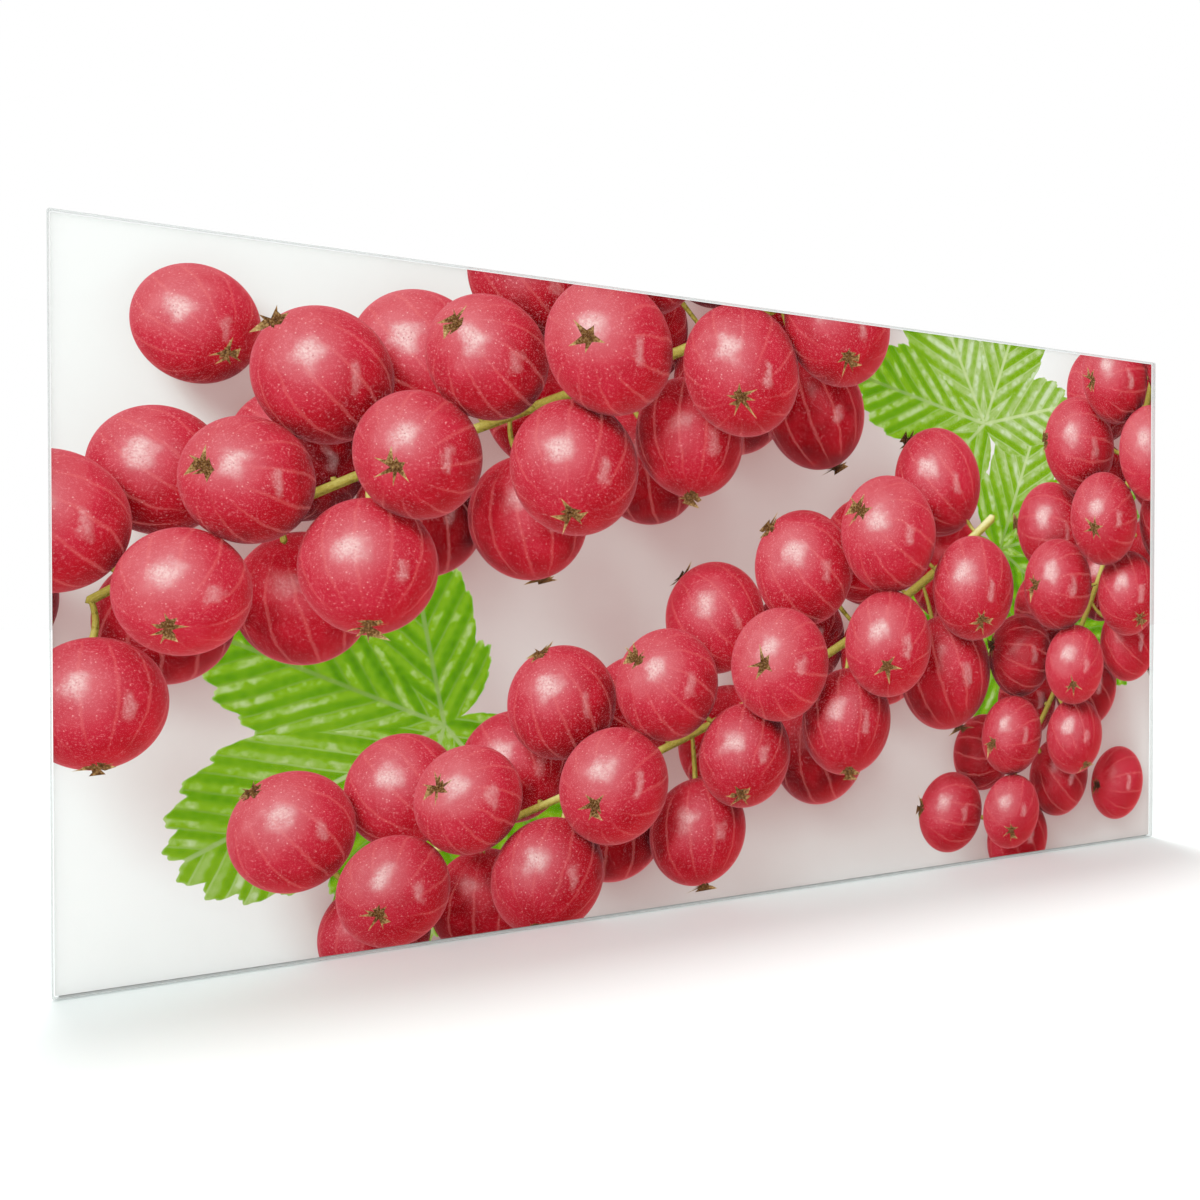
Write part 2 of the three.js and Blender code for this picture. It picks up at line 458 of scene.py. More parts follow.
def settle(centres, radii):
    home = centres.copy()
    count = len(radii)
    steps = np.linspace(0, 1, 60)
    stalk_points = np.array([curve_point(curve, t) for curve, *_ in BUNCHES for t in steps])
    stalk_radii = np.array([thick for *_, thick in BUNCHES for _ in steps])
    for _ in range(SETTLING_ROUNDS):
        gap = centres[:, None] - centres[None]
        distance = np.linalg.norm(gap, axis=2) + np.eye(count)
        overlap = np.clip(radii[:, None] + radii[None] - distance, 0, None)
        overlap[np.diag_indices(count)] = 0
        centres += (gap / distance[..., None] * (BERRY_PUSH * overlap)[..., None]).sum(1)
        gap = centres[:, None] - stalk_points[None]
        distance = np.linalg.norm(gap, axis=2)
        overlap = np.clip(radii[:, None] + stalk_radii[None] - distance, 0, None)
        push = gap / distance[..., None] * overlap[..., None]
        centres += STALK_PUSH * push[np.arange(count), overlap.argmax(1)]
        centres += HOME_PULL * (home - centres)
        centres[:, 2] = np.maximum(centres[:, 2], radii)
    return centres


def bulging(flat):
    """A surface's lean from its sideways part alone: what is left of it faces the viewer."""
    flat = flat / np.maximum(np.linalg.norm(flat, axis=1), 1)[:, None]
    facing = np.sqrt(np.clip(1 - (flat ** 2).sum(1), 0, 1))
    return np.column_stack((flat, facing))


class Shape:
    """One thing on the print: its lean, its height and its ink's guide. Plain, it is the table."""
    ink = 0
    seed = 0.5
    level = 0.0

    def rings(self):
        return []

    def normal(self, points):
        return np.tile((0.0, 0.0, 1.0), (len(points), 1))

    def height(self, points):
        return np.full(len(points), self.level)

    def detail(self, points, middles):
        return np.zeros((len(points), 3))


class Berry(Shape):
    ink = 1

    def __init__(self, centre, radius, root):
        self.centre = centre
        self.radius = radius
        self.seed = chance.random()
        if root is None:
            away = np.array((chance.uniform(-1, 1), chance.uniform(-1, 1), 0.7))
        else:
            away = centre - root
        self.axis = unit(away)
        self.stem_end = centre - self.axis * radius
        self.root = root

    def circle(self, share, gap):
        reach = self.radius * share
        count = round(2 * math.pi * reach / gap)
        turns = [2 * math.pi * i / count for i in range(count)]
        x, z, _ = self.centre
        return [(x + reach * math.cos(a), z + reach * math.sin(a)) for a in turns]

    def outline(self):
        return self.circle(1, OUTLINE_STEP)

    def rings(self):
        return [p for share in BERRY_RINGS for p in self.circle(share, 1.6 * OUTLINE_STEP)]

    def normal(self, points):
        return bulging((points - self.centre[:2]) / self.radius)

    def height(self, points):
        return self.centre[2] + self.radius * self.normal(points)[:, 2]

    def detail(self, points, middles):
        return np.tile(self.axis, (len(points), 1))


class Stalk(Shape):
    ink = 2

    def __init__(self, points, start_radius, end_radius):
        self.points = np.array(points)
        self.radii = np.linspace(start_radius, end_radius, len(points))
        self.seed = chance.random()
        steps = np.linalg.norm(np.diff(self.points[:, :2], axis=0), axis=1)
        self.lengths = np.concatenate(((0,), np.cumsum(steps)))

    def outline(self):
        flat = self.points[:, :2]
        ahead = np.gradient(flat, axis=0)
        ahead /= np.linalg.norm(ahead, axis=1)[:, None]
        side = np.column_stack((-ahead[:, 1], ahead[:, 0])) * self.radii[:, None]
        cap_a = flat[0] - ahead[0] * self.radii[0]
        cap_b = flat[-1] + ahead[-1] * self.radii[-1]
        return [tuple(p) for p in [cap_a, *(flat - side), cap_b, *(flat + side)[::-1]]]

    def nearest(self, points):
        """For each point, its offset across the stalk, its place along it and its height."""
        best = np.full(len(points), 1e9)
        across = np.zeros((len(points), 2))
        along = np.zeros(len(points))
        height = np.zeros(len(points))
        for i in range(len(self.points) - 1):
            a, b = self.points[i], self.points[i + 1]
            step = b[:2] - a[:2]
            t = np.clip((points - a[:2]) @ step / max(step @ step, 1e-12), 0, 1)
            gap = points - a[:2] - t[:, None] * step
            distance = np.linalg.norm(gap, axis=1)
            radius = self.radii[i] + t * (self.radii[i + 1] - self.radii[i])
            closer = distance < best
            best[closer] = distance[closer]
            across[closer] = gap[closer] / radius[closer, None]
            along[closer] = (self.lengths[i] + t * (self.lengths[i + 1] - self.lengths[i]))[closer]
            height[closer] = (a[2] + t * (b[2] - a[2]) + radius * 0.6)[closer]
        return across, along, height

    def normal(self, points):
        return bulging(self.nearest(points)[0])

    def height(self, points):
        return self.nearest(points)[2]

    def detail(self, points, middles):
        along = self.nearest(points)[1]
        return np.column_stack((along, np.zeros((len(points), 2))))


class DriedFlower(Shape):
    """The brown flower rest at a berry's far end: a small star that stands out of the skin."""
    ink = 3

    def __init__(self, berry):
        self.berry = berry
        self.seed = chance.random()
        a = berry.axis
        b = unit(np.cross(a, (0.3, 0.2, 0.93)))
        c = np.cross(a, b)
        self.pole = berry.centre + a * berry.radius * 1.02
        self.level = self.pole[2] + 0.006
        self.edge = []
        tips = chance.choice((5, 6, 7))
        start = chance.uniform(0, math.pi)
        for i in range(2 * tips):
            tip = i % 2 == 0
            spread = chance.uniform(*(FLOWER_TIP_SPREAD if tip else FLOWER_NOTCH_SPREAD))
            lift = chance.uniform(*FLOWER_TIP_LIFT) if tip else FLOWER_NOTCH_LIFT
            turn = start + math.pi * i / tips + chance.uniform(-0.2, 0.2)
            off = math.cos(turn) * b + math.sin(turn) * c
            way = math.cos(spread) * a + math.sin(spread) * off
            self.edge.append(berry.centre + way * berry.radius * lift)

    def outline(self):
        points = []
        middle = self.pole[:2]
        for i, p in enumerate(self.edge):
            q = self.edge[(i + 1) % len(self.edge)]
            points += [tuple(p[:2]), tuple((0.62 * p + 0.38 * q)[:2] * 0.97 + 0.03 * middle)]
        points.sort(key=lambda p: math.atan2(p[1] - middle[1], p[0] - middle[0]))
        return points

    def rings(self):
        return [tuple(self.pole[:2])]

    def normal(self, points):
        return self.berry.normal(points)

    def detail(self, points, middles):
        off = (points - self.pole[:2]) / self.berry.radius
        return np.column_stack((off, np.zeros(len(points))))


class Leaf(Shape):
    """A five-lobed toothed leaf, drawn round the foot of its stalk."""
    ink = 4

    def __init__(self, foot, heading, length, height):
        self.foot = np.array(foot)
        self.heading = heading
        self.length = length
        self.level = height
        self.seed = chance.random()

    def reach(self, angle):
        """How far the toothed edge is from the leaf's foot, at an angle off its heading."""
        angle = (angle + math.pi) % (2 * math.pi) - math.pi
        lobes = []
        for turn, size in LEAF_LOBES:
            off = np.minimum(((angle - turn) / LEAF_LOBE_SPREAD) ** 2, 1.1)
            lobes.append(size * (1 - LEAF_LOBE_DEPTH * off))
        reach = np.max(lobes, axis=0)
        past_foot = np.maximum(np.abs(angle) - LEAF_FOOT_ANGLE, 0)
        reach = reach * (1 - 0.8 * past_foot / 0.6)
        teeth = np.abs(np.sin(angle * LEAF_TEETH / 2))
        fine = 0.3 * np.abs(np.sin(angle * LEAF_TEETH * 1.5 + 0.6))
        return self.length * reach * (1 + LEAF_TOOTH_DEPTH * (teeth + fine))

    def polar(self, points):
        off = points - self.foot
        angle = np.arctan2(off[:, 1], off[:, 0]) - self.heading
        angle = (angle + math.pi) % (2 * math.pi) - math.pi
        return np.linalg.norm(off, axis=1), angle

    def holds(self, points):
        distance, angle = self.polar(points)
        return distance < self.reach(angle)

    def outline(self):
        turns = np.linspace(-math.pi, math.pi, LEAF_OUTLINE_POINTS, endpoint=False)
        reach = self.reach(turns)
        angles = turns + self.heading
        xs = self.foot[0] + reach * np.cos(angles)
        zs = self.foot[1] + reach * np.sin(angles)
        return list(zip(xs.tolist(), zs.tolist()))

    def normal(self, points):
        distance, angle = self.polar(points)
        roll = 0.22 * np.sin(3.1 * angle + 1.3) * np.minimum(distance / self.length * 1.5, 1)
        tilt = 0.18 * np.cos(2.2 * angle + 0.4)
        across, ahead = np.sin(angle + self.heading), np.cos(angle + self.heading)
        side, out = np.column_stack((-across, ahead)), np.column_stack((ahead, across))
        return bulging(side * roll[:, None] + out * tilt[:, None])

    def detail(self, points, middles):
        """The distance off the nearest main vein, the place along it and the way to the edge."""
        distance, angle = self.polar(points)
        turns = np.array([turn for turn, _ in LEAF_LOBES])
        nearest = np.abs(self.polar(middles)[1][:, None] - turns[None]).argmin(1)
        off = angle - turns[nearest]
        edge = self.reach(angle) - distance
        return np.column_stack((distance * np.sin(off), distance * np.cos(off), edge))


def arched(start, end, rise, count):
    """A path between two points in space that bows a little to one side and towards the viewer."""
    side = np.cross(end - start, (0, 0, 1))
    bow = side / (np.linalg.norm(side) + 1e-9) * rise + np.array((0, 0, abs(rise)))
    steps = np.linspace(0, 1, count)
    return [start + (end - start) * t + bow * 4 * t * (1 - t) for t in steps]


def compose():
    """All the shapes on the print, and the balls that shade them."""
    centres, radii, roots = grow_berries()
    berries = [Berry(c, r, root) for c, r, root in zip(centres, radii, roots)]
    shapes = [Shape()]
    shapes += [Leaf(*leaf) for leaf in LEAVES]
    for curve, _, _, _, thick in BUNCHES:
        path = [curve_point(curve, t) for t in np.linspace(0, 0.97, STALK_CURVE_STEPS)]
        shapes.append(Stalk(path, thick, 0.6 * thick))
    shapes += berries
    for berry in berries:
        if berry.root is not None:
            rise = chance.uniform(-0.12, 0.12) * np.linalg.norm(berry.stem_end - berry.root)
            path = arched(berry.root, berry.stem_end, rise, PEDICEL_STEPS)
            shapes.append(Stalk(path, PEDICEL_RADIUS * 0.9, PEDICEL_RADIUS * 1.25))
        if berry.axis[2] > FLOWER_SHOWS_ABOVE:
            shapes.append(DriedFlower(berry))
    balls = [(b.centre, b.radius, b) for b in berries]
    for shape in shapes:
        if isinstance(shape, Stalk):
            for point, radius in zip(shape.points[::2], shape.radii[::2]):
                balls.append((point, radius, shape))
    return shapes, balls


def grid_points(step):
    points = []
    rows = round(film_height / (step * 0.866))
    columns = round(film_width / step)
    for row in range(1, rows):
        z = -film_height / 2 + film_height * row / rows
        for column in range(1, columns):
            x = -film_width / 2 + film_width * (column + 0.25 * (-1) ** row) / columns
            points.append((x + chance.uniform(-0.1, 0.1) * step, z))
    return np.array(points)


def split_edges(corners, step):
    """The points of a closed outline, with more between them so that none are far apart."""
    points = []
    for (x, z), (x2, z2) in zip(corners, corners[1:] + corners[:1]):
        count = max(1, round(math.hypot(x2 - x, z2 - z) / step))
        points += [(x + (x2 - x) * k / count, z + (z2 - z) * k / count) for k in range(count)]
    return points


def visible_faces(shapes):
    """Cuts the film's front along all outlines, and finds which shape each triangle shows."""
    edge = rounded_outline(film_width, film_height, FILM_CORNER_RADIUS, FILM_CORNER_STEPS)
    points = split_edges(edge, film_width / round(film_width / EDGE_STEP))
    faces = [list(range(len(points)))]
    for shape in shapes[1:]:
        outline = shape.outline()
        faces.append(list(range(len(points), len(points) + len(outline))))
        points += outline
    for shape in shapes[1:]:
        points += shape.rings()
    leaves = [s for s in shapes if isinstance(s, Leaf)]
    coarse, fine = grid_points(GRID_STEP), grid_points(LEAF_GRID_STEP)
    off_leaves = ~np.any([leaf.holds(coarse) for leaf in leaves], axis=0)
    on_leaves = np.any([leaf.holds(fine) for leaf in leaves], axis=0)
    points += [tuple(p) for p in (*coarse[off_leaves], *fine[on_leaves])]
    flat = [Vector(p) for p in points]
    cut, _, triangles, _, _, inside = delaunay_2d_cdt(flat, [], faces, 1, MERGE_DISTANCE, True)
    kept = [i for i, owners in enumerate(inside) if 0 in owners]
    places = np.array([tuple(v) for v in cut])
    triangles = np.array([tuple(triangles[i]) for i in kept])
    middles = places[triangles].mean(1)
    members = [[] for _ in shapes]
    for row, i in enumerate(kept):
        for owner in inside[i]:
            members[owner].append(row)
    shown = np.zeros(len(kept), int)
    highest = np.zeros(len(kept))
    for number, rows in enumerate(members):
        if number and rows:
            rows = np.array(rows)
            height = shapes[number].height(middles[rows])
            higher = height > highest[rows]
            shown[rows[higher]] = number
            highest[rows[higher]] = height[higher]
    return places, triangles, shown


def light_on(places, normals, owners, balls):
    """How much of the lamp and of the sky each corner sees past the berries and stalks."""
    lamp = np.ones(len(places))
    sky_share = np.ones(len(places))
    for centre, radius, owner in balls:
        near = np.abs(places - centre).max(1) < 5 * radius
        rows = np.nonzero(near & (owners != id(owner)))[0]
        if not len(rows):
            continue
        gap = centre - places[rows]
        distance = np.maximum(np.linalg.norm(gap, axis=1), radius * 1.001)
        way = gap / distance[:, None]
        facing = (way * normals[rows]).sum(1)
        share = (radius / distance) ** 2
        cover = np.clip(0.5 * (facing + share), 0, None) * share
        sky_share[rows] *= 1 - np.clip(cover, 0, 0.92)
        off_lamp = np.arccos(np.clip(way @ KEY_LIGHT, -1, 1))
        half_width = np.arcsin(np.clip(radius / distance, 0, 1))
        seen = np.clip((off_lamp - half_width + KEY_LIGHT_SPREAD) / (2 * KEY_LIGHT_SPREAD), 0, 1)
        hidden = 1 - seen * seen * (3 - 2 * seen)
        lamp[rows] *= 1 - hidden * np.minimum((half_width / KEY_LIGHT_SPREAD) ** 2, 1)
    return lamp, sky_share


def front_looks(shapes, balls, places, triangles, shown):
    """For each corner of the front: the lean there, the light on it and what its ink draws by."""
    count = 3 * len(triangles)
    corner_places = places[triangles].reshape(-1, 2)
    corner_middles = np.repeat(places[triangles].mean(1), 3, axis=0)
    corner_shapes = np.repeat(shown, 3)
    normals, details = np.zeros((count, 3)), np.zeros((count, 3))
    heights = np.zeros(count)
    owners = np.zeros(count, object)
    for number, shape in enumerate(shapes):
        rows = np.nonzero(corner_shapes == number)[0]
        if len(rows):
            normals[rows] = shape.normal(corner_places[rows])
            heights[rows] = shape.height(corner_places[rows])
            details[rows] = shape.detail(corner_places[rows], corner_middles[rows])
            owners[rows] = id(shape.berry) if isinstance(shape, DriedFlower) else id(shape)
    lamp, sky_share = light_on(np.column_stack((corner_places, heights)), normals, owners, balls)
    seeds = np.array([shapes[number].seed for number in corner_shapes])
    return normals, np.column_stack((lamp, sky_share, seeds)), details


def rim_of(triangles):
    """The edge of the sheet: where each point on it leads, and all of them in turn."""
    pairs = dict.fromkeys(p for a, b, c in triangles for p in ((a, b), (b, c), (c, a)))
    rim = {a: b for a, b in pairs if (b, a) not in pairs}
    loop = [next(iter(rim))]
    while rim[loop[-1]] != loop[0]:
        loop.append(rim[loop[-1]])
    return rim, loop


def print_film(*inks):
    shapes, balls = compose()
    places, triangles, shown = visible_faces(shapes)
    looks = front_looks(shapes, balls, places, triangles, shown)
    used = np.unique(triangles)
    renumber = np.zeros(len(places), int)
    renumber[used] = np.arange(len(used))
    faces = renumber[triangles].tolist()
    places = places[used]
    front_count = len(faces)
    rim, loop = rim_of(faces)
    back, _, back_faces, back_from, _, _ = delaunay_2d_cdt(
        [Vector(places[i]) for i in loop], [], [list(range(len(loop)))], 1, MERGE_DISTANCE, True,
    )
    x0, z0 = film_middle.x, film_middle.z
    points = [(x0 + x, film_low.y, z0 + z) for x, z in places]
    first_back = len(points)
    points += [(x0 + v.x, film_high.y, z0 + v.y) for v in back]
    behind = {loop[origin]: first_back + i for i, (origin, *_) in enumerate(back_from)}
    faces += [tuple(first_back + i for i in reversed(face)) for face in back_faces]
    faces += [(b, a, behind[a], behind[b]) for a, b in rim.items()]
    film = mesh_object("picture_print", points, faces, *inks)

    mesh = film.data
    ink_of = np.zeros(len(faces), int)
    ink_of[:front_count] = [shapes[number].ink for number in shown]
    mesh.polygons.foreach_set("material_index", ink_of)
    for name, front, elsewhere in zip(("ball", "light", "detail"), looks, (0, 1, 0)):
        values = np.full((len(mesh.loops), 3), float(elsewhere))
        values[:len(front)] = front
        layer = mesh.attributes.new(name, "FLOAT_VECTOR", "CORNER")
        layer.data.foreach_set("vector", values.ravel())
    lay_flat(mesh, front_count, len(back_faces), len(loop))
    return film


def lay_flat(mesh, front_count, back_count, side_count):
    """A map that gives the front nearly all of the room, with the back and sides in strips."""
    corners = np.zeros(len(mesh.loops), int)
    mesh.loops.foreach_get("vertex_index", corners)
    places = np.zeros(3 * len(mesh.vertices))
    mesh.vertices.foreach_get("co", places)
    places = places.reshape(-1, 3)[corners]
    across = (places[:, 0] - film_low.x) / film_width
    up = (places[:, 2] - film_low.z) / film_height
    flat = np.column_stack((across, FRONT_STRIP + (1 - FRONT_STRIP) * up))
    back = slice(3 * front_count, 3 * (front_count + back_count))
    flat[back, 1] = BACK_STRIP * up[back]
    low, high = SIDE_STRIP
    for side in range(side_count):
        first = 3 * (front_count + back_count) + 4 * side
        start, end = side / side_count, (side + 1) / side_count
        flat[first:first + 4] = ((start, low), (end, low), (end, high), (start, high))
    layer = mesh.uv_layers.new(name="OFBake")
    layer.data.foreach_set("uv", flat.ravel())


TABLE_TONES = (
    (0.0, (0.15, 0.024, 0.026)), (0.22, (0.40, 0.23, 0.22)), (0.5, (0.67, 0.59, 0.575)),
    (0.85, (0.86, 0.845, 0.84)), (1.0, (0.90, 0.895, 0.89)),
)
BERRY_TONES = (
    (0.08, (0.040, 0.0005, 0.001)), (0.28, (0.205, 0.001, 0.003)), (0.48, (0.405, 0.007, 0.016)),
    (0.72, (0.540, 0.022, 0.044)), (1.0, (0.650, 0.105, 0.125)),
)
BERRY_GLOW = (0.66, 0.018, 0.022, 1)
BERRY_LINE = (0.86, 0.24, 0.22, 1)
BERRY_LINES = 12
BERRY_RIM = (0.78, 0.30, 0.34, 1)
BERRY_SHEEN = (0.80, 0.33, 0.37, 1)
BERRY_DUST = (0.80, 0.27, 0.31, 1)
BERRY_PORE = (0.93, 0.62, 0.60, 1)
BERRY_SHINE = (0.93, 0.72, 0.70, 1)
BERRY_PINHOLE = (0.42, 0.035, 0.055, 1)
STALK_TONES = (
    (0.1, (0.10, 0.06, 0.008)), (0.4, (0.36, 0.27, 0.05)),
    (0.7, (0.62, 0.52, 0.16)), (1.0, (0.87, 0.80, 0.46)),
)
DRIED_TONES = (
    (0.1, (0.020, 0.006, 0.003)), (0.40, (0.17, 0.075, 0.026)),
    (0.68, (0.50, 0.31, 0.12)), (0.95, (0.78, 0.62, 0.36)),
)
LEAF_TONES = (
    (0.0, (0.040, 0.140, 0.002)), (0.22, (0.110, 0.280, 0.004)), (0.45, (0.205, 0.375, 0.012)),
    (0.68, (0.340, 0.465, 0.130)), (0.98, (0.54, 0.63, 0.38)),
)
LEAF_VEIN_SHADED = (0.18, 0.28, 0.05, 1)
LEAF_VEIN_LIT = (0.58, 0.66, 0.34, 1)
LEAF_VEIN_STEP = 0.021
LEAF_RIM = (0.45, 0.56, 0.20, 1)


class Ink(Recipe):
    """An ink knows how the pictured surface leans, what light falls on it and its seed."""

    def __init__(self, name):
        super().__init__(name)
        self.lean = self.vector("NORMALIZE", self.attribute("ball"))
        self.lamp, self.sky_share, self.seed = self.split(self.attribute("light"))

    def attribute(self, name):
        return self.node("Attribute", attribute_name=name).outputs["Vector"]

    def dot(self, first, second):
        return self.vector("DOT_PRODUCT", first, second)

    def toward_lamp(self):
        return self.dot(self.lean, tuple(KEY_LIGHT))

    def off_half(self, value, factor):
        return self.times(self.maths("SUBTRACT", value, 0.5), factor)

    def sway(self, noise, factor):
        """A noise's colour as a small push that goes no particular way."""
        return self.scaled(self.vector("SUBTRACT", noise["Color"], (0.5, 0.5, 0.5)), factor)

    def printed(self, colour):
        return self.finish(Base_Color=colour, Roughness=0.4, Specular_IOR_Level=0)


def table_ink():
    ink = Ink("print_table_white")
    light = ink.plus(ink.times(ink.lamp, 0.36), ink.times(ink.sky_share, 0.64))
    return ink.printed(ink.ramp(light, *TABLE_TONES))


def berry_ink():
    ink = Ink("print_berry_red")
    axis = ink.attribute("detail")
    toward_lamp = ink.toward_lamp()
    shift = ink.scaled(ink.join(ink.seed, ink.seed, ink.seed), 37.0)
    on_skin = ink.vector("ADD", ink.lean, shift)
    grain = ink.noise(on_skin, 26.0, 3.0)
    waves = ink.noise(on_skin, 2.6, 2.0)
    uneven = ink.vector("ADD", ink.sway(grain, 0.09), ink.sway(waves, 0.42))
    rough_lean = ink.vector("NORMALIZE", ink.vector("ADD", ink.lean, uneven))

    # The skin's own colour, from deep in shade to bright where the lamp falls on it
    wrapped = ink.maths("POWER", ink.times_plus(toward_lamp, 0.5, 0.5), 1.5)
    lit = ink.times(wrapped, ink.times_plus(ink.lamp, 0.7, 0.3))
    upward = ink.times_plus(ink.split(ink.lean)[1], 0.2, 0.8)
    tone = ink.plus(
        ink.times(lit, 0.62), ink.times(upward, ink.sky_share, 0.38),
        ink.off_half(waves["Fac"], 0.34), ink.off_half(ink.seed, 0.16),
    )
    skin = ink.ramp(tone, *BERRY_TONES)

    # Light that went through the berry glows low on the far side
    glow = ink.smooth(ink.times(toward_lamp, -1.0), -0.35, 0.75)
    skin = ink.mix(ink.times(glow, ink.sky_share, ink.sky_share, 0.60), skin, BERRY_GLOW)

    # Fine pale lines run from the stem end to the dried flower, with a wobble so they aren't ruled
    across = ink.vector("NORMALIZE", ink.vector("CROSS_PRODUCT", axis, (0.3, 0.2, 0.93)))
    up = ink.vector("CROSS_PRODUCT", axis, across)
    wobbly = ink.vector("ADD", ink.lean, ink.sway(waves, 0.12))
    turn = ink.maths("ARCTAN2", ink.dot(wobbly, across), ink.dot(wobbly, up))
    step = ink.maths("FRACT", ink.times_plus(turn, BERRY_LINES / (2 * math.pi), 0.5))
    off_line = ink.maths("ABSOLUTE", ink.maths("SUBTRACT", step, 0.5))
    near_pole = ink.maths("ABSOLUTE", ink.dot(ink.lean, axis))
    fading = ink.smooth(near_pole, 0.55, 0.98, 1.0, 0.25)
    line = ink.times(ink.smooth(off_line, 0.01, 0.09, 1.0, 0.0), fading, 0.17)
    skin = ink.mix(line, skin, BERRY_LINE)

    # A pale rim where the skin turns away, and a broad sheen on the side of the lamp
    turned = ink.maths("SUBTRACT", 1.0, ink.split(ink.lean)[2])
    rim = ink.times(ink.maths("POWER", turned, 3.2), ink.sky_share, 0.36)
    skin = ink.mix(rim, skin, BERRY_RIM)
    half_way = KEY_LIGHT + np.array((0, 0, 1))
    sheen = ink.maths("MAXIMUM", ink.dot(rough_lean, tuple(unit(half_way))), 0.0)
    sheen = ink.times(ink.maths("POWER", sheen, 10.0), ink.lamp, 0.36)
    skin = ink.mix(sheen, skin, BERRY_SHEEN)

    # Bloom and pores: pale specks all over
    dust = ink.smooth(ink.noise(on_skin, 25.0, 4.0, 0.7)["Fac"], 0.53, 0.68, 0.0, 0.62)
    skin = ink.mix(ink.times(dust, ink.times_plus(lit, 0.9, 0.1)), skin, BERRY_DUST)
    pore = ink.smooth(ink.spots(on_skin, 10.0), 0.05, 0.16, 1.0, 0.0)
    skin = ink.mix(ink.times(pore, lit, 0.60), skin, BERRY_PORE)

    # The reflections of the lamp and of a narrow lamp at the side, with dark pinholes in them
    lean_x, lean_y, lean_z = ink.split(rough_lean)
    double = ink.times(lean_z, 2.0)
    mirrored = ink.join(
        ink.times(double, lean_x), ink.times(double, lean_y), ink.times_plus(double, lean_z, -1.0),
    )
    shine = ink.times(reflected_lamp(ink, mirrored, KEY_LIGHT, 0.36, 0.34, 0.33), ink.lamp, 0.78)
    glint = reflected_lamp(ink, mirrored, SIDE_LIGHT, 0.17, 0.36, 0.16)
    glint = ink.times(glint, ink.sky_share, 0.30)
    shine = ink.maths("MAXIMUM", shine, glint, clamp=True)
    shine = ink.times(shine, ink.smooth(grain["Fac"], 0.38, 0.62, 0.55, 1.0))
    skin = ink.mix(shine, skin, BERRY_SHINE)
    pinhole = ink.smooth(ink.spots(on_skin, 14.0), 0.12, 0.24, 1.0, 0.0)
    skin = ink.mix(ink.times(pinhole, shine, 0.90), skin, BERRY_PINHOLE)
    return ink.printed(skin)


def reflected_lamp(ink, mirrored, toward, half_width, half_height, blur):
    """How much of a soft square lamp shows in a reflection that leaves along mirrored."""
    toward = unit(np.array(toward))
    side = unit(np.cross((0, 1, 0), toward))
    ahead = ink.dot(mirrored, tuple(toward))
    safe = ink.maths("MAXIMUM", ahead, 0.05)
    shown = ink.smooth(ahead, 0.0, 0.3)
    for way, half in ((side, half_width), (np.cross(toward, side), half_height)):
        off = ink.maths("ABSOLUTE", ink.maths("DIVIDE", ink.dot(mirrored, tuple(way)), safe))
        shown = ink.times(shown, ink.smooth(off, half - blur, half + blur, 1.0, 0.0))
    return shown


def stalk_ink():
    ink = Ink("print_stalk_green")
    along = ink.split(ink.attribute("detail"))[0]
    grain = ink.join(ink.times(along, 60.0), ink.seed, ink.split(ink.lean)[0])
    streaks = ink.noise(grain, 6.0, 3.0)[0]
    lit = ink.times_plus(ink.maths("MAXIMUM", ink.toward_lamp(), 0.0), 0.7, 0.15)
    lit = ink.times(lit, ink.times_plus(ink.lamp, 0.65, 0.35))
    tone = ink.plus(lit, ink.times(ink.sky_share, 0.25), ink.off_half(streaks, 0.35))
    return ink.printed(ink.ramp(tone, *STALK_TONES))


def dried_flower_ink():
    ink = Ink("print_dried_flower_brown")
    off = ink.attribute("detail")
    place = ink.vector("ADD", off, ink.join(ink.seed, ink.seed, ink.seed))
    shaded = ink.times(ink.times_plus(ink.lamp, 0.5, 0.5), ink.noise(place, 30.0, 4.0)[0])
    toward_tip = ink.smooth(ink.vector("LENGTH", off), 0.05, 0.35, -0.15, 0.25)
    return ink.printed(ink.ramp(ink.plus(shaded, toward_tip), *DRIED_TONES))


